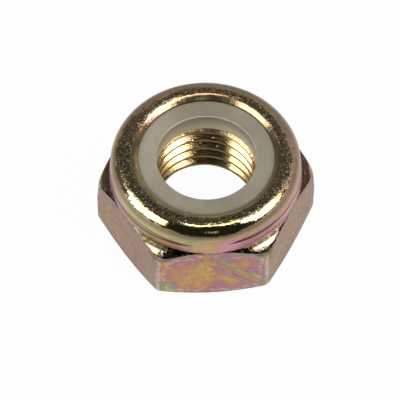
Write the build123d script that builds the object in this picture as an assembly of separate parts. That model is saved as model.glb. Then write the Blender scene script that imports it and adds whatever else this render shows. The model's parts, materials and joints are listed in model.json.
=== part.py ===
from build123d import *

import os
from math import asin, atan2, cos, hypot, radians, sin, tan

# Lock nut with a plastic insert ring, M10 x 1.25, in millimetres.
# The thread's axis is Z, the bearing face lies on Z = 0 and the collar is on top.

# Thread
thread_diameter = 10.0
thread_pitch = 1.25
minor_diameter_drop = 1.0825  # of the pitch, from the major to the minor diameter

# Hexagon
across_flats = 17.0
corner_round = 0.65
hexagon_height = 6.82
bearing_inset = 0.625
bottom_chamfer_angle = 30.0
top_chamfer_angle = 38.0

# Countersinks at the two ends of the thread
mouth_relief = 0.65
mouth_angle = 40.0
inner_relief = 0.4
inner_angle = 45.0

# Foot of the collar, a flared band with a fine groove above it
foot_overhang = 0.14
foot_height = 0.75
foot_flare = 0.06
groove_width = 0.14
groove_depth = 0.12

# Collar, rolled over the insert into a thick round lip
collar_height = 3.0
collar_wall = 1.44
collar_lean = 11.0
lip_outer_round = 1.525
lip_inner_round = 0.75
lip_reach = 1.12
lip_depth = 0.6
lip_edge = 0.1
pocket_floor_rise = 0.48

# Insert ring, shut into the collar
insert_bore_relief = 0.08
insert_bore_round = 0.15
insert_back_chamfer = 0.2

# Sizes that follow from the ones above
minor_radius = (thread_diameter - minor_diameter_drop * thread_pitch) / 2
corner_radius = across_flats / 2 / cos(radians(30))
overall_height = hexagon_height + collar_height
mouth_radius = thread_diameter / 2 + mouth_relief
foot_radius = across_flats / 2 + foot_overhang
collar_radius = foot_radius - foot_flare
pocket_radius = collar_radius - collar_wall
pocket_floor = hexagon_height + pocket_floor_rise
insert_top = overall_height - lip_depth
window_radius = pocket_radius - lip_reach
insert_bore_radius = minor_radius + insert_bore_relief


def hexagon_bar():
    """The six flats with their rounded corners, longer than the nut at both ends."""
    outline = RegularPolygon(across_flats / 2, 6, major_radius=False)
    outline = fillet(outline.vertices(), corner_round)
    return extrude(outline, amount=overall_height, both=True)


def collar_curve(groove_top):
    """The outside of the collar from its groove, over the crown and in to the lip's edge."""
    lean = radians(collar_lean)
    outer_centre_z = overall_height - lip_outer_round
    wall_top_z = outer_centre_z + lip_outer_round * sin(lean)
    wall_top_r = collar_radius - (wall_top_z - groove_top) * tan(lean)
    crown_r = wall_top_r - lip_outer_round * cos(lean)

    # The inner slope runs from the lip's edge and meets the inner round without a break
    edge_z = insert_top + lip_edge
    inner_centre_z = overall_height - lip_inner_round
    run = crown_r - window_radius
    rise = inner_centre_z - edge_z
    slope = atan2(rise, run) + asin(lip_inner_round / hypot(run, rise))
    slope_top = (
        crown_r - lip_inner_round * sin(slope),
        inner_centre_z + lip_inner_round * cos(slope),
    )

    wall = Line((collar_radius, groove_top), (wall_top_r, wall_top_z))
    outer_turn = ThreePointArc(
        (wall_top_r, wall_top_z),
        point_on_arc(crown_r, outer_centre_z, lip_outer_round, (lean + radians(90)) / 2),
        (crown_r, overall_height),
    )
    inner_turn = ThreePointArc(
        (crown_r, overall_height),
        point_on_arc(crown_r, inner_centre_z, lip_inner_round, radians(90) + slope / 2),
        slope_top,
    )
    inner_slope = Line(slope_top, (window_radius, edge_z))
    edge = Line((window_radius, edge_z), (window_radius, insert_top))
    return [wall, outer_turn, inner_turn, inner_slope, edge]


def point_on_arc(centre_r, centre_z, radius, angle):
    return (centre_r + radius * cos(angle), centre_z + radius * sin(angle))


def outside_curve():
    """The outside of the turned blank, from the bearing face up to the groove."""
    bearing_radius = across_flats / 2 - bearing_inset
    chamfer_rise = (corner_radius - bearing_radius) * tan(radians(bottom_chamfer_angle))
    chamfer_fall = (corner_radius - foot_radius) * tan(radians(top_chamfer_angle))
    foot_top = hexagon_height + foot_height
    groove_bottom = collar_radius - groove_depth
    return Polyline(
        (mouth_radius, 0),
        (bearing_radius, 0),
        (corner_radius, chamfer_rise),
        (corner_radius, hexagon_height - chamfer_fall),
        (foot_radius, hexagon_height),
        (collar_radius, foot_top),
        (groove_bottom, foot_top + groove_width / 2),
        (collar_radius, foot_top + groove_width),
    )


def inside_curve():
    """The pocket of the insert and the bore, from under the lip down to the bearing face."""
    mouth_depth = (mouth_radius - minor_radius) / tan(radians(mouth_angle))
    inner_depth = inner_relief / tan(radians(inner_angle))
    return Polyline(
        (window_radius, insert_top),
        (pocket_radius, insert_top),
        (pocket_radius, pocket_floor),
        (minor_radius + inner_relief, pocket_floor),
        (minor_radius, pocket_floor - inner_depth),
        (minor_radius, mouth_depth),
        (mouth_radius, 0),
    )


def nut_body():
    """Steel body: hexagon, chamfers, foot, groove, rolled collar, pocket and tapped bore."""
    groove_top = hexagon_height + foot_height + groove_width
    section = make_face([outside_curve(), *collar_curve(groove_top), inside_curve()])
    blank = revolve(Plane.XZ * section, Axis.Z, 360)
    return blank & hexagon_bar()


def nylon_insert():
    """Insert ring that fills the pocket, with a plain bore that the bolt's thread cuts into."""
    section = Polyline(
        (insert_bore_radius, pocket_floor),
        (pocket_radius - insert_back_chamfer, pocket_floor),
        (pocket_radius, pocket_floor + insert_back_chamfer),
        (pocket_radius, insert_top),
        (insert_bore_radius, insert_top),
        (insert_bore_radius, pocket_floor),
    )
    face = make_face(section)
    bore_corners = [v for v in face.vertices() if abs(v.X - insert_bore_radius) < 0.001]
    return revolve(Plane.XZ * fillet(bore_corners, insert_bore_round), Axis.Z, 360)


os.makedirs("parts", exist_ok=True)
export_step(nut_body(), "parts/nut_body.step")
export_step(nylon_insert(), "parts/nylon_insert.step")
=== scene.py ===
import json
from math import asin, atan2, cos, exp, hypot, pi, radians, sin, sqrt, tan
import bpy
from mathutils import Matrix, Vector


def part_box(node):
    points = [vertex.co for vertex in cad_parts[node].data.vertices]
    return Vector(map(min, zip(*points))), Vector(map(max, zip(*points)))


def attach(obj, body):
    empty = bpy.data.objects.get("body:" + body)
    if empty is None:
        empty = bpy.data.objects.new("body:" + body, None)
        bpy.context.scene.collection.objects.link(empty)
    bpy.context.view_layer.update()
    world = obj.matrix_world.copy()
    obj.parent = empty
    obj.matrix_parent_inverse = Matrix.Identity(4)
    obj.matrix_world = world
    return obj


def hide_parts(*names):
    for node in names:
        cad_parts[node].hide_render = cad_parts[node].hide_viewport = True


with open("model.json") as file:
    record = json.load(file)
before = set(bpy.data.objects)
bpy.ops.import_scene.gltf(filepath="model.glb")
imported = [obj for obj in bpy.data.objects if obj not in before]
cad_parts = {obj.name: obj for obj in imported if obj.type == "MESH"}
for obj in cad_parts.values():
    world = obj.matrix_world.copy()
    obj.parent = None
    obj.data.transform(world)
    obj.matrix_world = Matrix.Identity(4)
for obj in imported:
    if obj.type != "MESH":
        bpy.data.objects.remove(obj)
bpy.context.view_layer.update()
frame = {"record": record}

from types import SimpleNamespace

import bmesh
import bpy
from mathutils import Matrix, Vector

MM = 0.001

# Sizes read from the frame
body_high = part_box("nut_body")[1]
ring_low, ring_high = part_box("nylon_insert")
thread_mount = next(m for m in frame["record"]["mounts"] if m["name"] == "thread")
across_flats = 2 * body_high.y
overall_height = body_high.z
pocket_radius = ring_high.x
pocket_floor = ring_low.z
insert_top = ring_high.z
minor_radius = thread_mount["dims"]["r_mm"] * MM

# Hexagon. Its corners are rounder towards the top, and the collar sits a little off its centre.
corner_round = 0.65 * MM
corner_top_round = 1.6 * MM
hexagon_height = 6.82 * MM
bearing_inset = 0.625 * MM
bottom_chamfer = radians(30)
shoulder_width = 0.04 * MM
shoulder_slope = radians(18)
top_chamfer = radians(38.5)
least_top_drop = 0.05 * MM
edge_blend = 0.2 * MM
corner_blend = 0.65 * MM
corner_blend_reach = radians(9)
corner_line = 0.12 * MM
collar_offset = -0.07 * MM
collar_offset_way = 1.2 * MM

# Thread, right-hand, and its countersinks
thread_pitch = 1.25 * MM
thread_depth = 0.6766 * MM
crest_share = 0.16
crest_blend = 0.1
root_share = 0.06
root_blend = 0.16
first_crest = 1.5 * MM
mouth_radius = 5.65 * MM
mouth_slope = radians(40)
inner_relief = 0.4 * MM

# Foot, groove and collar
foot_height = 0.75 * MM
foot_flare = 0.03 * MM
groove_width = 0.14 * MM
groove_depth = 0.12 * MM
groove_lift = 0.35 * MM
groove_lift_way = (0.574, -0.819, 0)
groove_lift_fade = 0.8 * MM
groove_gap_turn = radians(-91.8)
groove_gap_full = radians(10.4)
groove_gap_end = radians(15.6)
collar_lean = radians(4.5)
lip_outer_round = 1.525 * MM
lip_inner_round = 0.9 * MM
lip_edge = 0.1 * MM
window_radius = 6.02 * MM

# Insert ring
ring_bore_relief = 0.08 * MM
ring_bore_round = 0.1 * MM
ring_back_chamfer = 0.2 * MM

# Sizes that follow
apothem = across_flats / 2
corner_radius = apothem / cos(radians(30))
bearing_radius = apothem - bearing_inset
foot_radius = apothem
foot_top = hexagon_height + foot_height
groove_top = foot_top + groove_width
collar_radius = foot_radius - foot_flare
pressed_from = 0.96 * apothem
corner_low = (corner_radius - bearing_radius) * tan(bottom_chamfer)


def chamfer_drop(out):
    """How far the top chamfer has fallen at a distance outside the foot: a soft shoulder first."""
    bend = max(out, 0) / shoulder_width
    eased = shoulder_width * (bend - 1 + exp(-bend))
    return tan(shoulder_slope) * max(out, 0) + (tan(top_chamfer) - tan(shoulder_slope)) * eased


corner_high = hexagon_height - chamfer_drop(corner_radius - foot_radius)

# How finely the meshes are divided, and how close two points count as one
TURN_STEPS = 372
CORNER_CROWDING = 0.5
BEARING_ROWS = (0.3, 0.6, 0.85, 0.94, 0.98, 1)
CREST_ROWS = (0.0, 0.04, 0.06, 0.08, 0.1, 0.13, 0.2, 0.3, 0.4, 0.45, 0.5)
TOUCH = 0.001 * MM
CUT_TOUCH = 0.0002 * MM
SEAM_TOUCH = 0.0005 * MM
RIM_TOUCH = 0.003 * MM
OFF_COLUMN = 0.01

# How colourful the film is on each flat, from the front one round to the right
FRONT = radians(-90)
FLAT_VIVIDNESS = (1.0, 0.1, 0.45, 0.8, 0.35, 0.12)
FINISHES = ("bearing", "chamfer", "flat", "collar", "bore")


# Section drawing: lists of (radius, height) points

def spread(start, end, shares):
    """Points between two others at the given shares of the way, without the first."""
    return [
        (start[0] + (end[0] - start[0]) * s, start[1] + (end[1] - start[1]) * s)
        for s in shares
    ]


def even(count):
    """Shares at equal steps, the last of them 1."""
    return [(i + 1) / count for i in range(count)]


def arc(centre, radius, start, end, count):
    """Points on an arc after its start, angles from the outward direction."""
    points = []
    for i in range(count):
        angle = start + (end - start) * (i + 1) / count
        points.append((centre[0] + radius * cos(angle), centre[1] + radius * sin(angle)))
    return points


def crowded(count):
    """Shares that crowd towards both ends."""
    return [(1 - cos(pi * (i + 1) / count)) / 2 for i in range(count)]


def collar_points():
    """Collar from its groove over the crown and down to the lip's edge."""
    outer_centre_z = overall_height - lip_outer_round
    wall_top_z = outer_centre_z + lip_outer_round * sin(collar_lean)
    wall_top_r = collar_radius - (wall_top_z - groove_top) * tan(collar_lean)
    crown_r = wall_top_r - lip_outer_round * cos(collar_lean)
    edge_z = insert_top + lip_edge
    inner_centre_z = overall_height - lip_inner_round
    run = crown_r - window_radius
    rise = inner_centre_z - edge_z
    slope = atan2(rise, run) + asin(lip_inner_round / hypot(run, rise))
    points = spread((collar_radius, groove_top), (wall_top_r, wall_top_z), even(8))
    points += arc((crown_r, outer_centre_z), lip_outer_round, collar_lean, pi / 2, 22)
    points += arc((crown_r, inner_centre_z), lip_inner_round, pi / 2, pi / 2 + slope, 16)
    points += spread(points[-1], (window_radius, edge_z), even(4))
    points += spread(points[-1], (window_radius, insert_top), even(2))
    return points


def shell_points():
    """The whole section except the thread, from the mouth's rim round to the pocket's floor."""
    groove = (collar_radius - groove_depth, foot_top + groove_width / 2)
    points = [(mouth_radius, 0)]
    points += spread(points[-1], (bearing_radius, 0), BEARING_ROWS)
    points += spread(points[-1], (corner_radius, corner_low), crowded(12))
    points += spread(points[-1], (corner_radius, corner_high), crowded(26))
    points += spread(points[-1], (foot_radius, hexagon_height), crowded(12))
    points += spread(points[-1], (collar_radius, foot_top), crowded(8))
    points += spread(points[-1], groove, even(3))
    points += spread(points[-1], (collar_radius, groove_top), even(3))
    points += collar_points()
    points += spread(points[-1], (pocket_radius, insert_top), even(2))
    points += spread(points[-1], (pocket_radius, pocket_floor), even(2))
    points += spread(points[-1], (minor_radius + inner_relief, pocket_floor), even(3))
    return points


# Mesh making

def chain(bm, points, closed=False):
    """A row of vertices and edges in the plane of X and Z."""
    verts = [bm.verts.new((r, 0, z)) for r, z in points]
    pairs = list(zip(verts, verts[1:]))
    if closed:
        pairs.append((verts[-1], verts[0]))
    return verts + [bm.edges.new(pair) for pair in pairs]


def clamp(share):
    return min(max(share, 0), 1)


def smooth(share):
    """0 up to a share of 0 and 1 from a share of 1, with a soft climb between."""
    share = clamp(share)
    return share * share * (3 - 2 * share)


def soft_min(a, b, blend):
    """The smaller value, rounded off where the two are close."""
    near = max(blend - abs(a - b), 0) / blend
    return min(a, b) - near * near * blend / 4


def off_corner(angle):
    """The angle from the nearest corner of the hexagon."""
    return abs((angle + radians(30)) % radians(60) - radians(30))


def hexagon_side(angle, rounding):
    """Distance from the axis to the hexagon at an angle, with its corners rounded."""
    off = off_corner(angle)
    centre = (apothem - rounding) / cos(radians(30))
    arc_end = atan2(rounding / 2, centre + rounding * cos(radians(30)))
    if off < arc_end:
        return centre * cos(off) + sqrt(rounding ** 2 - (centre * sin(off)) ** 2)
    return apothem / cos(radians(30) - off)


def corner_climb(share):
    """How much of the corner's top shape holds: none over the lower half of a flat, all at its top."""
    return smooth(2 * share - 1)


def corner_nearness(angle):
    """1 at a corner of the hexagon, falling to 0 about a millimetre and a half to each side."""
    return cos(min(off_corner(angle) / corner_blend_reach, 1) * pi / 2) ** 2


def edge_distance(gap, angle):
    """Millimetres to the nearest edge of the hexagon, along its rim or at its corners."""
    off_line = max(off_corner(angle) * corner_radius - corner_line, 0)
    return min(abs(gap), off_line) / MM


def off_centre(r):
    """Sideways shift of the collar: none at the edge of the lip, and all of it a little outside."""
    return collar_offset * smooth((r - window_radius) / collar_offset_way)


def lifted(z, angle):
    """Height with the groove's slope: it climbs a little towards the front right."""
    way = max(0, cos(angle) * groove_lift_way[0] + sin(angle) * groove_lift_way[1])
    below = (z - hexagon_height) / foot_height
    above = 1 - (z - groove_top) / groove_lift_fade
    return z + groove_lift * way * way * max(0, min(below, above, 1))


def groove_filling(r, z, angle):
    """Radius in the groove, which fades out for a short way at the front."""
    if not foot_top < z < groove_top:
        return r
    off_gap = abs(angle - groove_gap_turn)
    filled = clamp((groove_gap_end - off_gap) / (groove_gap_end - groove_gap_full))
    return r + (collar_radius - r) * filled


def crowd_corners(angle, r):
    """Moves the outer steps of the turn closer together at the hexagon's corners."""
    sector = radians(60)
    weight = clamp((r - window_radius) / (bearing_radius - window_radius))
    share = (angle / sector + 0.5) % 1 - 0.5
    return angle - weight * sector * CORNER_CROWDING * sin(2 * pi * share) / (2 * pi)


def cut_blank(height, side, top_side, blend):
    """The blank between its two chamfers, where the hexagon reaches out as far as side.

    Gives the turned radius, the height and how far the nearest rim of the flat is. top_side is
    the hexagon's reach with its top rounding, and height is the one before the flats are pressed.
    """
    low = (side - bearing_radius) * tan(bottom_chamfer)
    if height < corner_low:
        z = low * height / corner_low
        turned = bearing_radius + z / tan(bottom_chamfer)
        return turned, z, turned - side
    if height <= corner_high:
        high = hexagon_height - max(chamfer_drop(top_side - foot_radius), least_top_drop)
        z = low + (high - low) * (height - corner_low) / (corner_high - corner_low)
        from_top = side + (high - z) / tan(top_chamfer)
        from_bottom = bearing_radius + z / tan(bottom_chamfer)
        return soft_min(from_bottom, from_top, blend), z, min(high - z, z - low)
    rest = (hexagon_height - height) / (hexagon_height - corner_high)
    reach = max(side - foot_radius, 0) * rest
    z = hexagon_height - max(chamfer_drop(reach), least_top_drop * rest)
    return foot_radius + reach, z, foot_radius + reach - side


def press_hexagon(bm):
    """Presses the six flats into the turned blank and notes where the edges run."""
    inset_layer = bm.verts.layers.float.new("inset")
    across_layer = bm.verts.layers.float.new("across")
    vivid_layer = bm.verts.layers.float.new("vivid")
    for vert in bm.verts:
        x, y, height = vert.co
        r = hypot(x, y)
        z = height
        angle = crowd_corners(atan2(y, x), r)
        climb = corner_climb((height - corner_low) / (corner_high - corner_low))
        side = hexagon_side(angle, corner_round + (corner_top_round - corner_round) * climb)
        blend = edge_blend + (corner_blend - edge_blend) * corner_nearness(angle) * climb
        on_collar = height > hexagon_height + TOUCH
        outside = r > foot_radius - TOUCH or r > bearing_radius and height < corner_low
        if outside and not on_collar:
            sector = round((angle - FRONT) / radians(60))
            vert[vivid_layer] = FLAT_VIVIDNESS[sector % 6]
            vert[across_layer] = side * sin(angle - FRONT - sector * radians(60)) / MM
            turned, z, gap = cut_blank(height, side, hexagon_side(angle, corner_top_round), blend)
            r = soft_min(turned, side, blend)
            on_flat = corner_low <= height <= corner_high
            vert[inset_layer] = edge_distance(gap, angle) if on_flat else abs(gap) / MM
        elif on_collar and r > pressed_from:
            vert[inset_layer] = edge_distance(2 * (r - side), angle)
            r = soft_min(groove_filling(r, z, angle), side, edge_blend)
            z = lifted(z, angle)
        elif abs(z - pocket_floor) < TOUCH and r < minor_radius + inner_relief + TOUCH:
            r = thread_radius(z, angle)
        shift = off_centre(r) if on_collar else 0
        vert.co = (r * cos(angle) + shift, r * sin(angle), z)


def mark_finishes(bm):
    """Gives each face of the turned blank the number of its finish, before the flats are pressed."""
    for face in bm.faces:
        x, y, z = face.calc_center_median()
        if z > hexagon_height:
            finish = "collar"
        elif hypot(x, y) > corner_radius * 0.999:
            finish = "flat"
        elif z > TOUCH:
            finish = "chamfer"
        else:
            finish = "bearing"
        face.material_index = FINISHES.index(finish)


def thread_radius(z, angle):
    """Wall of the threaded hole, with the countersinks at its two ends."""
    phase = (z - first_crest) / thread_pitch - angle / (2 * pi)
    off_crest = abs((phase + 0.5) % 1 - 0.5)
    climb = (off_crest - crest_share / 2) / (0.5 - crest_share / 2 - root_share / 2)
    climb = -soft_min(-climb, 0, crest_blend)
    groove = minor_radius + thread_depth * soft_min(climb, 1, root_blend)
    mouth = mouth_radius - z * tan(mouth_slope)
    inner = minor_radius + inner_relief - (pocket_floor - z)
    return max(groove, mouth, inner)


def turn_round(bm, row, rise=0):
    """Turns a row of edges into a full ring, one sixth first and then its five copies."""
    steps = TURN_STEPS // 6
    lift = (0, 0, rise / TURN_STEPS)
    bmesh.ops.spin(bm, geom=row, axis=(0, 0, 1), dvec=lift, angle=radians(60), steps=steps)
    sector = bm.verts[:] + bm.edges[:] + bm.faces[:]
    for i in range(1, 6):
        copy = bmesh.ops.duplicate(bm, geom=sector)["geom"]
        verts = [v for v in copy if isinstance(v, bmesh.types.BMVert)]
        bmesh.ops.rotate(bm, verts=verts, matrix=Matrix.Rotation(radians(60 * i), 3, "Z"))
        bmesh.ops.translate(bm, verts=verts, vec=(0, 0, rise * i / 6))
    bmesh.ops.remove_doubles(bm, verts=bm.verts, dist=SEAM_TOUCH)


def threaded_hole():
    """The hole's wall, turned up along the helix and cut off flat at both ends."""
    bm = bmesh.new()
    shares = CREST_ROWS[:-1] + tuple(1 - s for s in reversed(CREST_ROWS[1:]))
    turns = range(-3, int(pocket_floor / thread_pitch) + 2)
    heights = [first_crest + (n + s) * thread_pitch for n in turns for s in shares]
    turn_round(bm, chain(bm, [(minor_radius, z) for z in heights]), rise=thread_pitch)
    for height, outward in ((0, -1), (pocket_floor, 1)):
        plane = {"plane_co": (0, 0, height), "plane_no": (0, 0, outward)}
        everything = bm.verts[:] + bm.edges[:] + bm.faces[:]
        bmesh.ops.bisect_plane(bm, geom=everything, dist=CUT_TOUCH, clear_outer=True, **plane)
    between = []
    for vert in bm.verts:
        columns = atan2(vert.co.y, vert.co.x) / (2 * pi) * TURN_STEPS
        if vert.is_boundary and abs(columns - round(columns)) > OFF_COLUMN:
            between.append(vert)
    bmesh.ops.dissolve_verts(bm, verts=between)
    for vert in bm.verts:
        x, y, z = vert.co
        angle = atan2(y, x)
        r = thread_radius(z, angle)
        vert.co = (r * cos(angle), r * sin(angle), z)
    return bm


def new_object(name, data):
    """Adds an object to the scene, at the origin."""
    added = bpy.data.objects.new(name, data)
    bpy.context.scene.collection.objects.link(added)
    return added


def finished(bm, name, node):
    """Makes the piece's object, rides it on the body and hides its CAD node."""
    bmesh.ops.recalc_face_normals(bm, faces=bm.faces)
    for face in bm.faces:
        face.smooth = True
    mesh = bpy.data.meshes.new(name)
    bm.to_mesh(mesh)
    bm.free()
    piece = new_object(name, mesh)
    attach(piece, "root")
    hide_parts(node)
    return piece


def make_nut():
    """The steel body: the pressed blank with the threaded hole's wall sewn into it."""
    bm = bmesh.new()
    turn_round(bm, chain(bm, shell_points()))
    mark_finishes(bm)
    press_hexagon(bm)
    hole = threaded_hole()
    for face in hole.faces:
        face.material_index = FINISHES.index("bore")
    carrier = bpy.data.meshes.new("hole_carrier")
    hole.to_mesh(carrier)
    hole.free()
    bm.from_mesh(carrier)
    bpy.data.meshes.remove(carrier)
    rims = [v for v in bm.verts if v.is_boundary]
    bmesh.ops.remove_doubles(bm, verts=rims, dist=RIM_TOUCH)
    return finished(bm, "hex_nut_steel", "nut_body")


def make_ring():
    """The insert ring, which fills the pocket and has a plain bore with rounded edges."""
    bore = minor_radius + ring_bore_relief
    round_r = bore + ring_bore_round
    points = [(bore, pocket_floor + ring_bore_round)]
    points += spread(points[-1], (bore, insert_top - ring_bore_round), even(8))
    points += arc((round_r, insert_top - ring_bore_round), ring_bore_round, pi, pi / 2, 6)
    points += spread(points[-1], (pocket_radius, insert_top), even(16))
    points += spread(points[-1], (pocket_radius, pocket_floor + ring_back_chamfer), even(4))
    points += spread(points[-1], (pocket_radius - ring_back_chamfer, pocket_floor), even(2))
    points += spread(points[-1], (round_r, pocket_floor), even(4))
    points += arc((round_r, pocket_floor + ring_bore_round), ring_bore_round, 1.5 * pi, pi, 6)[:-1]
    bm = bmesh.new()
    turn_round(bm, chain(bm, points, closed=True))
    return finished(bm, "nylon_ring", "nylon_insert")


nut = make_nut()
ring = make_ring()


# Materials. Patterns read Object coordinates, turned into millimetres.

def tint(red, green, blue):
    """A colour as a picture shows it, 0 to 255, turned into the shader's own scale."""
    return tuple(((c / 255 + 0.055) / 1.055) ** 2.4 for c in (red, green, blue)) + (1,)


class Graph:
    """Short ways to add nodes to one tree. A value is a number, a colour or a socket to link."""

    def __init__(self, tree):
        self.tree = tree

    def put(self, socket, value):
        if isinstance(value, bpy.types.NodeSocket):
            self.tree.links.new(value, socket)
        else:
            socket.default_value = value

    def add(self, kind, inputs=None, **settings):
        node = self.tree.nodes.new(kind)
        for name, value in settings.items():
            setattr(node, name, value)
        for name, value in (inputs or {}).items():
            self.put(node.inputs[name], value)
        return node

    def math(self, operation, *values, clamp=False):
        node = self.add("ShaderNodeMath", operation=operation, use_clamp=clamp)
        for socket, value in zip(node.inputs, values):
            self.put(socket, value)
        return node.outputs[0]

    def vector(self, operation, *values):
        node = self.add("ShaderNodeVectorMath", operation=operation)
        for socket, value in zip(node.inputs, values):
            self.put(socket, value)
        return node.outputs["Value" if operation in ("LENGTH", "DOT_PRODUCT") else "Vector"]

    def times(self, *values):
        product = values[0]
        for value in values[1:]:
            product = self.math("MULTIPLY", product, value)
        return product

    def plus(self, *values):
        total = values[0]
        for value in values[1:]:
            total = self.math("ADD", total, value)
        return total

    def lean(self, base, value, slope):
        """The base, plus another value times a slope."""
        return self.math("MULTIPLY_ADD", value, slope, base)

    def off(self, value, middle):
        """How far a value is from a middle one, to either side."""
        return self.math("ABSOLUTE", self.math("SUBTRACT", value, middle))

    def most(self, a, b):
        return self.math("MAXIMUM", a, b)

    def attribute(self, name):
        return self.add("ShaderNodeAttribute", attribute_name=name).outputs["Fac"]

    def split(self, place):
        return self.add("ShaderNodeSeparateXYZ", {0: place}).outputs

    def join(self, **axes):
        return self.add("ShaderNodeCombineXYZ", axes).outputs[0]

    def millimetres(self):
        place = self.add("ShaderNodeTexCoord").outputs["Object"]
        return self.vector("MULTIPLY", place, (1 / MM, 1 / MM, 1 / MM))

    def from_axis(self, place):
        """How far a place is from the thread's axis."""
        return self.vector("LENGTH", self.vector("MULTIPLY", place, (1, 1, 0)))

    def noise(self, place, scale, detail=2, roughness=0.5, distortion=0):
        inputs = {"Vector": place, "Scale": scale, "Detail": detail}
        inputs.update({"Roughness": roughness, "Distortion": distortion})
        return self.add("ShaderNodeTexNoise", inputs).outputs["Fac"]

    def rise(self, value, low, high, start=0, end=1):
        """Goes smoothly from start to end as the value goes from low to high."""
        inputs = {"Value": value, "From Min": low, "From Max": high, "To Min": start, "To Max": end}
        node = self.add("ShaderNodeMapRange", inputs, interpolation_type="SMOOTHSTEP")
        return node.outputs["Result"]

    def fall(self, value, low, high, start=1, end=0):
        return self.rise(value, low, high, start, end)

    def zone(self, value, start, full, still, end):
        """1 while the value is between full and still, and 0 before start and after end."""
        return self.times(self.rise(value, start, full), self.fall(value, still, end))

    def stretch(self, pattern, start, end, half=0.2):
        """Spreads a noise pattern's middle part, half to each side of 0.5, from start to end."""
        return self.rise(pattern, 0.5 - half, 0.5 + half, start, end)

    def blend(self, share, a, b):
        node = self.add("ShaderNodeMix", data_type="RGBA")
        for index, value in ((0, share), (6, a), (7, b)):
            self.put(node.inputs[index], value)
        return node.outputs[2]

    def layered(self, base, *layers):
        """Lays colours over the base one by one, each by its own share."""
        for share, colour in layers:
            base = self.blend(share, base, colour)
        return base

    def ramp(self, value, stops):
        node = self.add("ShaderNodeValToRGB", {"Fac": value})
        elements = node.color_ramp.elements
        while len(elements) < len(stops):
            elements.new(0.5)
        for element, (position, colour) in zip(elements, stops):
            element.position = position
            element.color = colour
        return node.outputs["Color"]

    def profile(self, value, stops, top=1):
        """A plain value that runs through stops. The ramp holds them as shares of the top."""
        greys = [(position, (level / top,) * 3 + (1,)) for position, level in stops]
        return self.times(self.ramp(value, greys), top)

    def use(self, tree, **inputs):
        """Places a shared group and gives its outputs."""
        node = self.add("ShaderNodeGroup", node_tree=tree)
        for name, value in inputs.items():
            self.put(node.inputs[name], value)
        return node.outputs


def new_group(name, outputs, **inputs):
    """An empty shared group: its graph, the sockets that come in and those that go out.

    An input's kind follows its first value, which is a number, a place or a colour.
    """
    kinds = {1: "NodeSocketFloat", 3: "NodeSocketVector", 4: "NodeSocketColor"}
    tree = bpy.data.node_groups.new(name, "ShaderNodeTree")
    for label, value in inputs.items():
        kind = kinds[len(value) if isinstance(value, tuple) else 1]
        socket = tree.interface.new_socket(label, in_out="INPUT", socket_type=kind)
        socket.default_value = value
    for label in outputs:
        kind = kinds[4 if label == "Colour" else 1]
        tree.interface.new_socket(label, in_out="OUTPUT", socket_type=kind)
    source = tree.nodes.new("NodeGroupInput")
    sink = tree.nodes.new("NodeGroupOutput")
    return Graph(tree), source.outputs, sink.inputs


def film_group():
    """Colour of the chromate film: its bands come round again as the film grows thicker."""
    grey = (0.5, 0.5, 0.5, 1)
    graph, given, out = new_group("chromate_film", ["Colour"], Thickness=0, Mute=0, Body=grey)
    around = graph.math("FRACT", given["Thickness"])
    bands = graph.ramp(around, (
        (0.0, tint(203, 176, 112)),
        (0.16, tint(215, 166, 88)),
        (0.3, tint(205, 148, 106)),
        (0.44, tint(193, 128, 126)),
        (0.55, tint(183, 116, 145)),
        (0.66, tint(168, 142, 160)),
        (0.78, tint(148, 160, 112)),
        (0.9, tint(170, 172, 92)),
        (1.0, tint(203, 176, 112)),
    ))
    graph.put(out["Colour"], graph.blend(given["Mute"], bands, given["Body"]))
    return graph.tree


def round_group():
    """A streaky value that runs round the axis, for what a lathe or the rolling left."""
    inputs = {"Place": (0, 0, 0), "Along": 1, "Across": 1, "Detail": 2}
    graph, given, out = new_group("round_streaks", ["Value"], **inputs)
    outward = graph.vector("NORMALIZE", graph.vector("MULTIPLY", given["Place"], (1, 1, 0)))
    circle = graph.add("ShaderNodeVectorMath", operation="SCALE")
    graph.put(circle.inputs[0], outward)
    graph.put(circle.inputs["Scale"], graph.times(given["Along"], apothem / MM))
    height = graph.split(given["Place"])["Z"]
    lift = graph.join(Z=graph.times(height, given["Across"]))
    noise = graph.add("ShaderNodeTexNoise", noise_dimensions="4D")
    graph.put(noise.inputs["Vector"], graph.vector("ADD", circle.outputs[0], lift))
    graph.put(noise.inputs["W"], graph.times(graph.from_axis(given["Place"]), given["Across"]))
    graph.put(noise.inputs["Scale"], 1)
    graph.put(noise.inputs["Detail"], given["Detail"])
    graph.put(out["Value"], noise.outputs["Fac"])
    return graph.tree


def pitting_group():
    """Fine pits and tiny dents: a mask of the pits, and the height of both."""
    inputs = {"Place": (0, 0, 0), "Scale": 3, "Dents": 0.5}
    graph, given, out = new_group("pitting", ["Mottle", "Height"], **inputs)
    coarse = graph.noise(given["Place"], given["Scale"], detail=4, roughness=0.65)
    cells = graph.add("ShaderNodeTexVoronoi", {"Vector": given["Place"], "Randomness": 1})
    graph.put(cells.inputs["Scale"], graph.times(given["Scale"], 0.9))
    dots = graph.fall(cells.outputs["Distance"], 0.08, 0.3)
    few = graph.rise(graph.noise(given["Place"], 0.9, detail=3), 0.48, 0.6)
    dents = graph.times(dots, few, given["Dents"])
    graph.put(out["Mottle"], graph.rise(coarse, 0.53, 0.62))
    graph.put(out["Height"], graph.math("SUBTRACT", coarse, dents))
    return graph.tree


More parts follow.
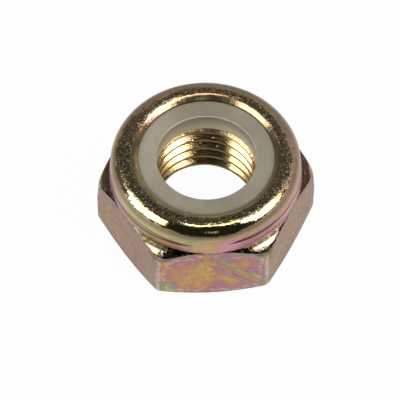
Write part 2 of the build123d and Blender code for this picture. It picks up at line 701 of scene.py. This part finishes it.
def edge_band_group():
    """A band between two distances from the hexagon's edges: where the film is rubbed off, and also
    where painted shade darkens the chamfers.
    """
    inputs = {"Place": (0, 0, 0), "From": 0, "To": 0.2, "Ragged": 0.2, "Scale": 2.2}
    graph, given, out = new_group("edge_wear_and_shade", ["Mask"], **inputs)
    uneven = graph.noise(given["Place"], given["Scale"], detail=4, roughness=0.6)
    shift = graph.times(graph.stretch(uneven, -1, 1), given["Ragged"])
    inset = graph.plus(graph.attribute("inset"), shift)
    middle = graph.times(graph.plus(given["From"], given["To"]), 0.5)
    half = graph.times(graph.math("SUBTRACT", given["To"], given["From"]), 0.5)
    share = graph.math("DIVIDE", graph.off(inset, middle), half)
    graph.put(out["Mask"], graph.fall(share, 0.4, 1.3))
    return graph.tree


FILM = film_group()
ROUND = round_group()
PITS = pitting_group()
EDGE_BANDS = edge_band_group()

# Colours of the plating and its film, and of the painted shade and highlights on it
GOLD = tint(224, 205, 160)
LEMON = tint(218, 207, 146)
STRAW = tint(222, 212, 150)
SAND = tint(190, 172, 136)
PEACH = tint(228, 194, 158)
SALMON = tint(230, 180, 172)
ROSE = tint(186, 134, 140)
ORCHID = tint(206, 134, 172)
TAUPE = tint(148, 122, 98)
UMBER = tint(176, 151, 116)
# A pale cream for worn film, also used for a painted highlight on the flats' edges
WORN_AND_GLINT = tint(205, 194, 172)
CLOUDED = tint(176, 171, 160)
# A dark olive for painted shade on the chamfers
SHADE_OLIVE = tint(38, 35, 16)
# A dark brown for dark marks, also used for painted shade and shadow
DARK_MARKS_AND_SHADE = tint(48, 38, 34)

# Colours of the nylon: its face where it is dim and pale, partly painted light, its bore, painted
# paler, and the painted glint on the bore's upper edge
NYLON_DIM_SHADED = tint(150, 141, 124)
NYLON_PALE_LIT = tint(194, 186, 167)
NYLON_BORE_LIT = tint(240, 228, 194)
NYLON_GLINT = tint(236, 228, 208)

# The collar's finish. A zone is in shares of a turn, from the back (0) over the left (0.25) and
# the front (0.5) to the right (0.75), and a span is a height or a radius in millimetres. Between
# their numbers a tint comes or goes. WALL_DRIFT is the film's thickness round the collar, and
# FOOT_BANDS what is added to it up the foot.
WALL_DRIFT = (
    (0.0, 0.8), (0.12, 0.72), (0.2, 0.5), (0.31, 0.6), (0.34, 0.9), (0.41, 0.96),
    (0.47, 1.1), (0.52, 1.3), (0.55, 1.5), (0.7, 1.54), (0.85, 1.7), (1.0, 1.8),
)
WALL_THICKEST = 3
FOOT_BANDS = ((0.0, 0.05), (0.35, 0.2), (0.6, 0.1), (1.0, 0.05))
FOOT_SPAN = (6.75, 7.6)
FOOT_MIDDLE = 7.3
FOOT_TOP_SPAN = (7.55, 7.68)
FOOT_START_ZONE = (0.26, 0.36)
FOOT_END_ZONE = (0.46, 0.54)
FOOT_BACK_SHARE = -0.4
GROOVE_MIDDLE = (foot_top + groove_width / 2) / MM
STRAW_ZONE = (0.27, 0.34, 0.38, 0.5)
STRAW_SPAN = (7.7, 8.1)
ROSE_END_ZONE = (0.44, 0.5)
ROSE_SPAN = (7.72, 8.0)
SMUDGE_TURN = 0.535
SMUDGE_SPAN = (7.9, 8.3)
PINK_ZONE = (0.55, 0.6, 0.7, 0.8)
PINK_SPAN = (7.0, 7.45)
SAND_SPAN = (8.2, 8.7)
WARM_ZONE = (0.42, 0.56, 0.76, 0.9)
WARM_SPAN = (8.0, 8.6)
RUBBED_SPAN = (8.0, 8.8)
# Where the painted shade of the groove and of its fold runs, and where it is thicker
CREASE_GAP_TURN = 0.495
THICK_CREASE_ZONE = (0.52, 0.55, 0.6, 0.64)
FOLD_ZONE = (0.3, 0.36, 0.45, 0.47)
FOLD_LEAVING_ZONE = (0.38, 0.47)
LIP_SHADOW_SPAN = (6.04, 6.12)
CROWN_INNER_SPAN = (6.4, 6.58)
CROWN_OUTER_SPAN = (7.85, 8.05)
POLISH_HEIGHT_SPAN = (9.31, 9.47)
POLISH_RADIUS_SPAN = (7.0, 7.2)

# The flats' finish, in millimetres across and up: the way square to the drag marks, how far
# along it the widest of them lie, and the lower left corner, where the film is greener
DRAG_ACROSS = 0.643
DRAG_UP = 0.766
DRAG_SLANT = 4.1
GREEN_CORNER = (-4.6, 0.7, 0)

# Painted shade on the chamfers: the radius, height and depth at which they darken under the collar
SHADE_UNDER_COLLAR_RADIUS = (8.78, 8.9)
SHADE_UNDER_COLLAR_HEIGHT = (4, 5)
SHADE_UNDER_COLLAR_FRONT = (-5, -3)

# The thread's finish: the height where it starts, and how wide its rough middle is
THREAD_START = (5.6, 6.3)
THREAD_MIDDLE = (1.0, 2.4)

# The nylon's painted light: the depth over which its bore is painted paler, and the radius and height
# of the painted glint on the bore's upper edge
NYLON_BORE_LIGHT_DEPTH = (7.3, 9.15)
NYLON_GLINT_RADIUS = (4.43, 4.48)
NYLON_GLINT_HEIGHT = (9.1, 9.18)


def new_material(name, metallic, roughness):
    """A material with its graph and the inputs of its shader."""
    material = bpy.data.materials.new(name)
    material.use_nodes = True
    shader = material.node_tree.nodes["Principled BSDF"]
    shader.inputs["Metallic"].default_value = metallic
    shader.inputs["Roughness"].default_value = roughness
    return material, Graph(material.node_tree), shader.inputs


def bumped(graph, heights):
    """Stacks bumps, each a height pattern with its depth in millimetres."""
    normal = None
    for height, depth in heights:
        node = graph.add("ShaderNodeBump", {"Height": height, "Strength": 1, "Distance": depth * MM})
        if normal is not None:
            graph.put(node.inputs["Normal"], normal)
        normal = node.outputs["Normal"]
    return normal


def collar_spot(graph):
    """Where a spot lies on the collar, and the uneven patterns that its colours share."""
    place = graph.millimetres()
    x, y, height = graph.split(place)
    radius = graph.from_axis(place)
    turn = graph.math("ARCTAN2", x, graph.times(y, -1))
    way = graph.math("DIVIDE", graph.vector("DOT_PRODUCT", place, groove_lift_way), radius)
    way = graph.math("POWER", graph.most(way, 0), 2)
    ragged = graph.stretch(graph.noise(place, 1.3, detail=3), -1, 1)
    wander = graph.lean(radius, ragged, 0.12)
    square = graph.times(y, y)
    inside = graph.rise(graph.lean(wander, square, -0.004), *CROWN_INNER_SPAN)
    outside = graph.fall(graph.lean(wander, square, 0.0132), *CROWN_OUTER_SPAN)
    crown = graph.times(inside, outside)
    pits = graph.use(PITS, Place=place, Scale=4, Dents=0.5)
    return SimpleNamespace(
        place=place, x=x, y=y, height=height, radius=radius,
        around=graph.lean(0.5, turn, 0.5 / pi),
        level=graph.lean(height, way, -groove_lift / MM),
        ragged=ragged, wander=wander, inside=inside, crown=crown,
        mottle=graph.times(pits["Mottle"], crown),
        pits=pits["Height"],
        patches=graph.noise(place, 0.34, detail=3),
        radial=graph.use(ROUND, Place=place, Along=3.2, Across=0.35, Detail=3)["Value"],
    )


def wall_colour(graph, spot):
    """Film on the collar's wall and foot: bands that drift round it, and tints in a few zones."""
    streaks = graph.use(ROUND, Place=spot.place, Along=0.5, Across=2.4, Detail=3)["Value"]
    foot = graph.times(
        graph.profile(graph.rise(spot.height, *FOOT_SPAN), FOOT_BANDS),
        graph.fall(spot.level, *FOOT_TOP_SPAN),
        graph.rise(spot.around, *FOOT_START_ZONE, FOOT_BACK_SHARE, 1),
        graph.fall(spot.around, *FOOT_END_ZONE, 1, FOOT_BACK_SHARE),
    )
    thickness = graph.plus(
        graph.profile(spot.around, WALL_DRIFT, top=WALL_THICKEST),
        graph.rise(spot.height, 7.5, 8.6, 0.05, -0.1),
        foot,
        graph.stretch(spot.patches, -0.16, 0.16),
        graph.stretch(streaks, -0.07, 0.07, half=0.25),
        graph.stretch(spot.radial, -0.08, 0.08, half=0.25),
    )
    mute = graph.rise(spot.ragged, -1, 1, 0.1, 0.5)
    film = graph.use(FILM, Thickness=thickness, Mute=mute, Body=TAUPE)["Colour"]

    straw = graph.times(graph.zone(spot.around, *STRAW_ZONE), graph.rise(spot.level, *STRAW_SPAN))
    rose = graph.times(
        graph.rise(graph.off(spot.level, FOOT_MIDDLE), 0.08, 0.16),
        graph.fall(spot.level, *ROSE_SPAN),
        graph.fall(spot.around, *ROSE_END_ZONE),
        graph.rise(spot.ragged, -1, 1, 0.4, 0.85),
    )
    smudge = graph.fall(graph.off(spot.around, SMUDGE_TURN), 0.008, 0.03, 0.75)
    smudge = graph.times(smudge, graph.fall(spot.level, *SMUDGE_SPAN))
    pink = graph.times(graph.zone(spot.around, *PINK_ZONE), graph.fall(spot.level, *PINK_SPAN))
    warm = graph.times(graph.zone(spot.around, *WARM_ZONE), graph.fall(spot.height, *WARM_SPAN, 1, 0.2))
    return graph.layered(
        film,
        (graph.times(straw, 0.6), STRAW),
        (rose, ROSE),
        (graph.most(smudge, graph.times(pink, 0.6)), ORCHID),
        (graph.rise(spot.height, *SAND_SPAN, 0, 0.7), SAND),
        (graph.times(warm, 0.4), SALMON),
    )


def lip_colour(graph, spot):
    """Gold of the rolled lip: paler at the far side, brown and mottled on its rough crown, with a
    painted shadow along its edge at the nylon.
    """
    far = graph.rise(spot.y, -1, 3)
    thickness = graph.plus(
        graph.stretch(spot.patches, -0.38, 0.25, half=0.15),
        graph.stretch(spot.radial, -0.2, 0.2),
        graph.times(far, 0.26),
    )
    body = graph.blend(far, LEMON, PEACH)
    film = graph.use(FILM, Thickness=thickness, Mute=0.6, Body=body)["Colour"]

    brown = graph.times(graph.fall(spot.inside, 0, 1), graph.rise(spot.x, 1, 5, 0, 0.85))
    dark = graph.fall(graph.noise(spot.place, 4.8, detail=3, roughness=0.6), 0.4, 0.5)
    pale = graph.times(
        graph.fall(spot.y, -3, 0, 0.4),
        graph.fall(spot.x, 0, 4, 1, 0.2),
        graph.fall(spot.wander, 6.5, 6.85),
    )
    return graph.layered(
        film,
        (graph.most(brown, graph.times(spot.crown, 0.6)), UMBER),
        (graph.times(spot.mottle, 0.8), CLOUDED),
        (graph.times(dark, spot.crown, 0.75), DARK_MARKS_AND_SHADE),
        (pale, WORN_AND_GLINT),
        # Painted shadow: the lip darkens along its edge where it meets the nylon.
        (graph.fall(spot.radius, *LIP_SHADOW_SPAN, 0.6), DARK_MARKS_AND_SHADE),
    )


def groove_shade(graph, spot):
    """Painted shade of the groove: a dark line, with a gap at the front, and a second in a fold that
    leaves it at the left.
    """
    thick = graph.times(0.09, graph.zone(spot.around, *THICK_CREASE_ZONE))
    off_line = graph.math("SUBTRACT", graph.off(spot.level, GROOVE_MIDDLE), thick)
    off_gap = graph.off(spot.around, CREASE_GAP_TURN)
    line = graph.times(
        graph.fall(off_line, 0.06, 0.14),
        graph.rise(off_gap, 0.03, 0.05),
        graph.fall(off_gap, 0.17, 0.25, 1, 0.3),
    )
    fold_level = graph.plus(graph.fall(spot.around, *FOLD_LEAVING_ZONE, 0.4), GROOVE_MIDDLE)
    fold = graph.fall(graph.off(spot.level, fold_level), 0.04, 0.1)
    return graph.most(line, graph.times(fold, graph.zone(spot.around, *FOLD_ZONE)))


def polished_share(graph, spot):
    """0 on the satin wall and 1 on the polished lip, which starts on a tilted, ragged line."""
    climb = graph.lean(graph.lean(spot.height, spot.ragged, 0.08), spot.y, -0.053)
    climb = graph.lean(climb, spot.x, -0.02)
    climb = graph.plus(climb, graph.fall(graph.math("ABSOLUTE", spot.x), 1.5, 4, 0, -0.2))
    by_height = graph.rise(climb, *POLISH_HEIGHT_SPAN)
    return graph.most(by_height, graph.fall(spot.radius, *POLISH_RADIUS_SPAN))


def collar_finish():
    """Satin film on the wall and foot, polished gold over the rolled lip, rough on its crown."""
    material, graph, shader = new_material("zinc_collar", 1, 0.2)
    spot = collar_spot(graph)
    polished = polished_share(graph, spot)
    satin = graph.fall(polished, 0, 1)
    rubbed = graph.times(
        graph.rise(graph.noise(spot.place, 1.5, detail=4, roughness=0.7), 0.56, 0.66),
        graph.rise(spot.height, *RUBBED_SPAN, 0.25, 0.6),
        satin,
    )
    # Painted shade: a dark line along the groove and a second one in the fold at the left.
    crease_shade = graph.times(groove_shade(graph, spot), 0.85)
    colour = graph.blend(polished, wall_colour(graph, spot), lip_colour(graph, spot))
    graph.put(shader["Base Color"], graph.layered(colour, (rubbed, WORN_AND_GLINT), (crease_shade, DARK_MARKS_AND_SHADE)))
    graph.put(shader["Metallic"], graph.rise(polished, 0, 1, 0.78, 1))
    roughness = graph.plus(
        graph.rise(polished, 0, 1, 0.4, 0.07),
        graph.times(graph.stretch(spot.radial, 0.13, 0.2), graph.fall(spot.radius, 6.4, 6.7)),
        graph.times(spot.mottle, 0.45),
    )
    graph.put(shader["Roughness"], roughness)
    rough_crown = graph.times(
        graph.math("SUBTRACT", spot.pits, 0.45),
        graph.rise(spot.crown, 0, 1, 0.05, 1),
        graph.rise(spot.y, -7, -1, 0.3, 1.1),
    )
    grain = graph.times(graph.noise(spot.place, 9), graph.rise(spot.crown, 0, 1, 0.25, 1))
    waves = graph.noise(spot.place, 1.5, detail=3)
    heights = ((rough_crown, 0.055), (grain, 0.012), (spot.radial, 0.006), (waves, 0.03))
    graph.put(shader["Normal"], bumped(graph, heights))
    return material


def flat_finish():
    """Pressed flats: film patches, slanting scratches, fine upright grain and pale edges, worn and
    partly a painted highlight.
    """
    material, graph, shader = new_material("zinc_flat", 0.85, 0.4)
    place = graph.millimetres()
    height = graph.split(place)["Z"]
    across = graph.attribute("across")
    vivid = graph.attribute("vivid")
    grain = graph.noise(graph.vector("MULTIPLY", place, (9, 9, 0.8)), 1, detail=3, roughness=0.6)
    patches = graph.noise(place, 0.55, detail=4, roughness=0.6, distortion=0.3)
    fine = graph.noise(place, 2.2, detail=4, roughness=0.7)

    slant = graph.plus(graph.times(across, DRAG_ACROSS), graph.times(height, DRAG_UP))
    along = graph.plus(graph.times(across, DRAG_UP), graph.times(height, -DRAG_ACROSS))
    drag = graph.join(X=graph.times(slant, 1.9), Y=graph.times(along, 0.25), Z=vivid)
    drag = graph.noise(drag, 1, roughness=0.6)
    dragged = graph.fall(graph.off(slant, DRAG_SLANT), 0.6, 1.3)

    middle_out = graph.join(X=graph.lean(0.2, across, 0.165), Y=graph.lean(-0.98, height, 0.26))
    middle_out = graph.math("POWER", graph.vector("LENGTH", middle_out), 1.6)
    corner_out = graph.vector("SUBTRACT", graph.join(X=across, Y=height), GREEN_CORNER)
    thickness = graph.plus(
        graph.lean(0.13, middle_out, 0.5),
        graph.fall(graph.vector("LENGTH", corner_out), 0.8, 2.6, 0.36),
        graph.stretch(patches, -0.2, 0.26, half=0.25),
        graph.stretch(fine, -0.05, 0.05),
        graph.times(dragged, graph.stretch(drag, -0.25, 0.5)),
    )
    mute = graph.plus(graph.fall(vivid, 0, 1, 0.82, 0.32), graph.stretch(fine, -0.18, 0.18, half=0.15))
    film = graph.use(FILM, Thickness=thickness, Mute=mute, Body=TAUPE)["Colour"]

    # Pale edges: worn film, and partly a painted highlight where the rounded edges catch light.
    edge = graph.times(
        graph.use(EDGE_BANDS, Place=place, From=-0.3, To=0.12, Ragged=0.08, Scale=0.9)["Mask"],
        graph.rise(graph.noise(place, 2.6, detail=4, roughness=0.65), 0.35, 0.62, 0.25, 0.8),
    )
    ring = graph.times(
        graph.use(EDGE_BANDS, Place=place, From=0.4, To=0.72, Ragged=0.3, Scale=0.7)["Mask"],
        graph.rise(graph.noise(place, 1.6, detail=4, roughness=0.65), 0.4, 0.6),
        graph.rise(vivid, 0, 1, 0.1, 0.55),
    )
    specks = graph.rise(fine, 0.58, 0.68, 0, 0.5)
    film = graph.blend(graph.most(graph.most(edge, ring), specks), film, WORN_AND_GLINT)
    scratch = graph.times(
        graph.fall(graph.off(drag, 0.5), 0.004, 0.02, 0.4),
        dragged,
        graph.rise(patches, 0.4, 0.55),
    )
    graph.put(shader["Base Color"], graph.blend(scratch, film, DARK_MARKS_AND_SHADE))
    graph.put(shader["Roughness"], graph.stretch(fine, 0.36, 0.48))
    pits = graph.use(PITS, Place=place, Scale=4, Dents=0.6)["Height"]
    graph.put(shader["Normal"], bumped(graph, ((grain, 0.002), (pits, 0.04), (fine, 0.03))))
    return material


def turned_finish(name, colour, roughness, ring_depth):
    """Bright turned surface with fine rings, for chamfers and the bearing face, with painted shade in a
    band inside its edges and under the collar.
    """
    material, graph, shader = new_material(name, 1, roughness)
    place = graph.millimetres()
    x, y, height = graph.split(place)
    rings = graph.use(ROUND, Place=place, Along=0.3, Across=8, Detail=2)["Value"]
    pits = graph.use(PITS, Place=place, Scale=2.6, Dents=0.9)
    thickness = graph.stretch(graph.noise(place, 0.7), 0.3, 1.05)
    film = graph.use(FILM, Thickness=thickness, Mute=0.3, Body=colour)["Colour"]

    # Painted shade: dark olive in a band just inside the edges, and where the chamfers run in under the
    # collar at the front.
    edge_shade = graph.use(EDGE_BANDS, Place=place, From=0.04, To=0.16, Ragged=0.08)["Mask"]
    shade_under_collar = graph.times(
        graph.fall(graph.lean(graph.from_axis(place), x, 0.015), *SHADE_UNDER_COLLAR_RADIUS),
        graph.rise(height, *SHADE_UNDER_COLLAR_HEIGHT),
        graph.fall(y, *SHADE_UNDER_COLLAR_FRONT, 0.95, 0.3),
    )
    film = graph.blend(graph.most(graph.times(edge_shade, 0.93), shade_under_collar), film, SHADE_OLIVE)
    film = graph.blend(graph.times(pits["Mottle"], 0.35), film, UMBER)
    worn = graph.use(EDGE_BANDS, Place=place, From=-0.3, To=0.06, Ragged=0.05)["Mask"]
    graph.put(shader["Base Color"], graph.blend(worn, film, WORN_AND_GLINT))
    polish = graph.plus(
        graph.stretch(rings, roughness * 0.7, roughness * 1.4),
        graph.rise(graph.noise(place, 2, detail=4, roughness=0.65), 0.52, 0.62, 0, 0.22),
        graph.times(pits["Mottle"], 0.2),
        graph.times(worn, 0.3),
    )
    graph.put(shader["Roughness"], polish)
    waves = graph.noise(place, 0.8)
    heights = ((rings, ring_depth), (pits["Height"], 0.008), (waves, 0.03))
    graph.put(shader["Normal"], bumped(graph, heights))
    return material


def thread_finish():
    """Polished gold thread with tool marks, rougher where it starts and in the middle."""
    material, graph, shader = new_material("zinc_thread", 1, 0.12)
    place = graph.millimetres()
    spot = graph.split(place)
    drag = graph.use(ROUND, Place=place, Along=0.5, Across=6, Detail=3)["Value"]
    radial = graph.use(ROUND, Place=place, Along=6, Across=0.4, Detail=2)["Value"]
    thickness = graph.stretch(graph.noise(place, 0.8), -0.1, 0.35)
    film = graph.use(FILM, Thickness=thickness, Mute=0.45, Body=GOLD)["Colour"]
    graph.put(shader["Base Color"], film)
    graph.put(shader["Roughness"], graph.stretch(drag, 0.13, 0.24))
    middle = graph.fall(graph.math("ABSOLUTE", spot["X"]), *THREAD_MIDDLE, 0.4)
    start = graph.rise(spot["Z"], *THREAD_START, 0.04, 1)
    pits = graph.use(PITS, Place=place, Scale=3, Dents=0.9)["Height"]
    rough = graph.times(pits, graph.most(start, middle))
    graph.put(shader["Normal"], bumped(graph, ((drag, 0.003), (radial, 0.004), (rough, 0.05))))
    return material


def nylon_finish():
    """Natural nylon, a little cloudy, with the faint marks of the rolling, painted light that makes its
    face paler to the left and right and its bore paler, and a painted glint on the bore's upper edge.
    """
    material, graph, shader = new_material("nylon_natural", 0, 0.42)
    shader["IOR"].default_value = 1.53
    shader["Subsurface Weight"].default_value = 0.35
    shader["Subsurface Radius"].default_value = (1.0, 0.8, 0.55)
    shader["Subsurface Scale"].default_value = 0.9 * MM
    place = graph.millimetres()
    x, y, height = graph.split(place)
    rings = graph.use(ROUND, Place=place, Along=0.2, Across=5, Detail=2)["Value"]
    # Painted light: the face is paler towards the left and right, most to the left, where the lamps
    # light it more; the noise adds random cloudiness.
    cloud_and_painted_light = graph.plus(
        graph.stretch(graph.noise(place, 0.5), 0.15, 0.35),
        graph.times(graph.math("ABSOLUTE", x), 0.06),
        graph.times(x, -0.02),
    )
    colour = graph.blend(graph.rise(cloud_and_painted_light, 0, 1), NYLON_DIM_SHADED, NYLON_PALE_LIT)
    # Painted light: the bore is paler below its top, where light bounced off the bright thread fills
    # it.
    colour = graph.blend(graph.fall(height, *NYLON_BORE_LIGHT_DEPTH, 0.9), colour, NYLON_BORE_LIT)
    # Painted highlight: a pale glint along the bore's upper edge, strongest towards the far side, in a
    # broken line.
    edge = graph.times(
        graph.fall(graph.from_axis(place), *NYLON_GLINT_RADIUS),
        graph.rise(height, *NYLON_GLINT_HEIGHT),
        graph.rise(y, -1.5, 1.5, 0.1, 0.65),
        graph.rise(graph.noise(place, 0.9, detail=3, roughness=0.6), 0.38, 0.55, 0.4, 1),
    )
    graph.put(shader["Base Color"], graph.blend(edge, colour, NYLON_GLINT))
    graph.put(shader["Roughness"], graph.lean(graph.stretch(rings, 0.36, 0.5), edge, -0.25))
    graph.put(shader["Normal"], bumped(graph, ((rings, 0.002), (graph.noise(place, 6), 0.002))))
    return material


nut_finishes = {
    "bearing": turned_finish("zinc_bearing", GOLD, 0.25, 0.003),
    "chamfer": turned_finish("zinc_chamfer", GOLD, 0.06, 0.001),
    "flat": flat_finish(),
    "collar": collar_finish(),
    "bore": thread_finish(),
}
for finish in FINISHES:
    nut.data.materials.append(nut_finishes[finish])
ring.data.materials.append(nylon_finish())


# Camera, at the photograph's place: where it aims in the nut's frame, and how far and how high

camera_distance = 272.5 * MM
camera_elevation = radians(56.33)
camera_turn = radians(-4.52)
camera_roll = radians(0.811)
camera_aim = Vector((-0.518, -1.131, 4.15)) * MM
camera_lens = 275.46


def make_camera():
    """The camera looks at its aim, turned round the nut's axis and rolled a little."""
    back = Vector((0, -cos(camera_elevation), sin(camera_elevation)))
    right = Vector((1, 0, 0))
    up = back.cross(right)
    rolled_right = right * cos(camera_roll) + up * sin(camera_roll)
    rolled_up = up * cos(camera_roll) - right * sin(camera_roll)
    place = camera_aim + back * camera_distance
    axes = Matrix((rolled_right, rolled_up, back)).transposed().to_4x4()
    turned = Matrix.Rotation(camera_turn, 4, "Z") @ Matrix.Translation(place) @ axes
    data = bpy.data.cameras.new("camera")
    data.lens = camera_lens
    data.sensor_width = 36
    data.clip_start = 0.01
    data.clip_end = 10
    camera = new_object("camera", data)
    camera.matrix_world = turned
    bpy.context.scene.camera = camera


make_camera()


# Light. Directions are given as the photograph's: turn from the camera's side, then elevation

def place_towards(turn, elevation, distance):
    """A point round the nut. Turn 0 is the camera's side, and it grows to the right."""
    a = radians(turn) + camera_turn - pi / 2
    e = radians(elevation)
    return Vector((cos(a) * cos(e), sin(a) * cos(e), sin(e))) * distance


def soft_box(name, turn, elevation, wide, high, radiance, roll=0, distance=0.5):
    """A rectangular lamp that faces the nut and covers wide by high degrees of its sky."""
    data = bpy.data.lights.new(name, "AREA")
    data.shape = "RECTANGLE"
    data.size = 2 * distance * tan(radians(wide / 2))
    data.size_y = 2 * distance * tan(radians(high / 2))
    data.energy = radiance * pi * data.size * data.size_y
    lamp = new_object(name, data)
    place = place_towards(turn, elevation, distance)
    lamp.location = place
    facing = place.to_track_quat("Z", "Y").to_matrix()
    lamp.rotation_euler = (facing @ Matrix.Rotation(radians(roll), 3, "Z")).to_euler()
    lamp.visible_camera = False


soft_box("box_left", turn=-67.5, elevation=31.5, wide=40, high=35, radiance=4.2, roll=20)
soft_box("box_right", turn=72, elevation=44, wide=32, high=30, radiance=5.2, roll=4)
soft_box("strip_above", turn=30, elevation=74, wide=40, high=9, radiance=3.2, roll=-20)
soft_box("small_front", turn=8, elevation=34, wide=9, high=12, radiance=0.5)


# Stage: a white floor whose reflection glows in a pool round the nut, with a painted shadow where that
# glow is dimmed under the nut, and the dim room.
# The pool and the painted shadow under the nut are in millimetres.

floor_radius = 700 * MM
floor_rim_height = 50 * MM
CAMERA_GLOW = 0.97
GLOSS_GLOW = 0.85
POOL_MIDDLE = (6, 9, 0)
POOL_EDGE = (29, 42)
FAR_FLOOR = 0.05
NUT_SHADOW_SPAN = (7.5, 9.5)
NUT_SHADOW_GLOW = 0.3
ROOM_COLOUR = (1, 0.98, 0.92, 1)
ROOM_LIGHT = 0.11
DARK_SIDE = 0.02
DARK_SIDE_EDGE = (0.5, 0.85)
BACK_LIGHT = 0.19
BACK_LIGHT_EDGE = (0.72, 0.88)


def make_floor():
    """A white floor with a low rim far off, so that a level view sees white behind the nut too."""
    bm = bmesh.new()
    bmesh.ops.create_circle(bm, cap_ends=True, segments=128, radius=floor_radius)
    rim = bmesh.ops.extrude_edge_only(bm, edges=[e for e in bm.edges if e.is_boundary])["geom"]
    raised = [v for v in rim if isinstance(v, bmesh.types.BMVert)]
    bmesh.ops.translate(bm, verts=raised, vec=(0, 0, floor_rim_height))
    mesh = bpy.data.meshes.new("floor")
    bm.to_mesh(mesh)
    bm.free()
    floor = new_object("floor", mesh)
    material, graph, matte = new_material("floor_white", 0, 0.9)
    matte["Base Color"].default_value = (0.8, 0.8, 0.8, 1)
    path = graph.add("ShaderNodeLightPath").outputs
    mirrored = graph.most(path["Is Glossy Ray"], path["Is Transmission Ray"])
    place = graph.millimetres()
    off_pool = graph.vector("LENGTH", graph.vector("SUBTRACT", place, POOL_MIDDLE))
    pool = graph.fall(off_pool, *POOL_EDGE, 1, FAR_FLOOR)
    # Painted shadow: under the nut the glow seen in reflections falls to a third.
    under = graph.rise(graph.vector("LENGTH", place), *NUT_SHADOW_SPAN, NUT_SHADOW_GLOW, 1)
    strength = graph.most(path["Is Camera Ray"], graph.times(pool, under))
    glow = graph.add("ShaderNodeEmission", {"Color": (1, 1, 1, 1), "Strength": strength})
    seen = graph.times(path["Is Camera Ray"], CAMERA_GLOW)
    mix = graph.add("ShaderNodeMixShader")
    nodes = graph.tree.nodes
    graph.put(mix.inputs[0], graph.most(seen, graph.times(mirrored, GLOSS_GLOW)))
    graph.put(mix.inputs[1], nodes["Principled BSDF"].outputs[0])
    graph.put(mix.inputs[2], glow.outputs[0])
    graph.put(nodes["Material Output"].inputs["Surface"], mix.outputs[0])
    mesh.materials.append(material)


def make_world():
    """The room: dim all round, darker towards the camera and lighter low down behind the nut."""
    world = bpy.data.worlds.new("world")
    bpy.context.scene.world = world
    world.use_nodes = True
    graph = Graph(world.node_tree)
    way = graph.add("ShaderNodeTexCoord").outputs["Generated"]
    camera_side = graph.vector("DOT_PRODUCT", way, tuple(place_towards(0, 30, 1)))
    behind = graph.vector("DOT_PRODUCT", way, tuple(place_towards(170, 5, 1)))
    room = graph.fall(camera_side, *DARK_SIDE_EDGE, ROOM_LIGHT, DARK_SIDE)
    glow = graph.rise(behind, *BACK_LIGHT_EDGE, 0, BACK_LIGHT)
    background = graph.tree.nodes["Background"].inputs
    background["Color"].default_value = ROOM_COLOUR
    graph.put(background["Strength"], graph.plus(room, glow))


make_floor()
make_world()
bpy.context.scene.view_settings.view_transform = "Standard"
